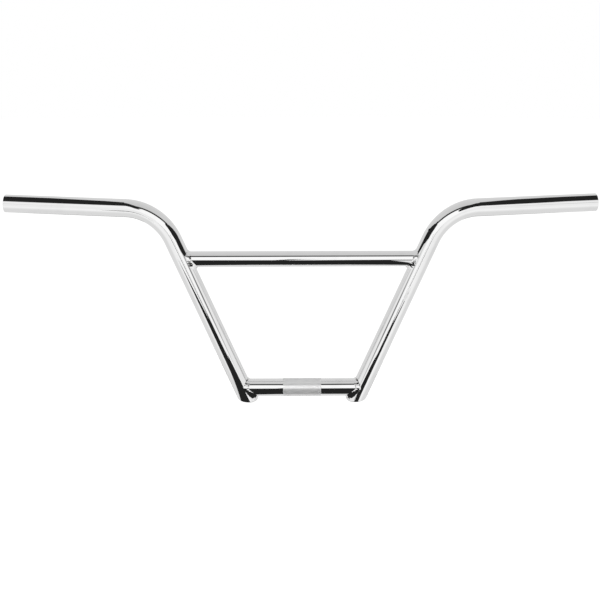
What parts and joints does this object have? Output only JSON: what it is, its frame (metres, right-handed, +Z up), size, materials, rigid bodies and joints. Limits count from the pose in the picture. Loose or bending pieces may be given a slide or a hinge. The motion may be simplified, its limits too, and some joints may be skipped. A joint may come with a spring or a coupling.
{
  "type": "bmx handlebar",
  "caption": "Chromed steel BMX handlebar with bent side tubes, a crossbar and a straight clamp tube welded into one open frame.",
  "frame": {"origin": "middle of the clamp tube, on its axis, where the stem holds the bar", "axes": "+X along the clamp tube, to the right as seen from the front; +Y backwards, the way the grips sweep; +Z up"},
  "size_m": [0.7364, 0.0598, 0.2537],
  "materials": {
    "tube": "polished chrome plate; the clamp band is blasted dull",
    "weld": "chrome plate over a rippled weld bead"
  },
  "bodies": {
    "root": {"left_side_tube": "tube", "right_side_tube": "tube", "crossbar_tube": "tube", "clamp_tube": "tube", "crossbar_weld_left": "weld", "crossbar_weld_right": "weld", "clamp_weld_left": "weld", "clamp_weld_right": "weld"}
  },
  "joints": []
}
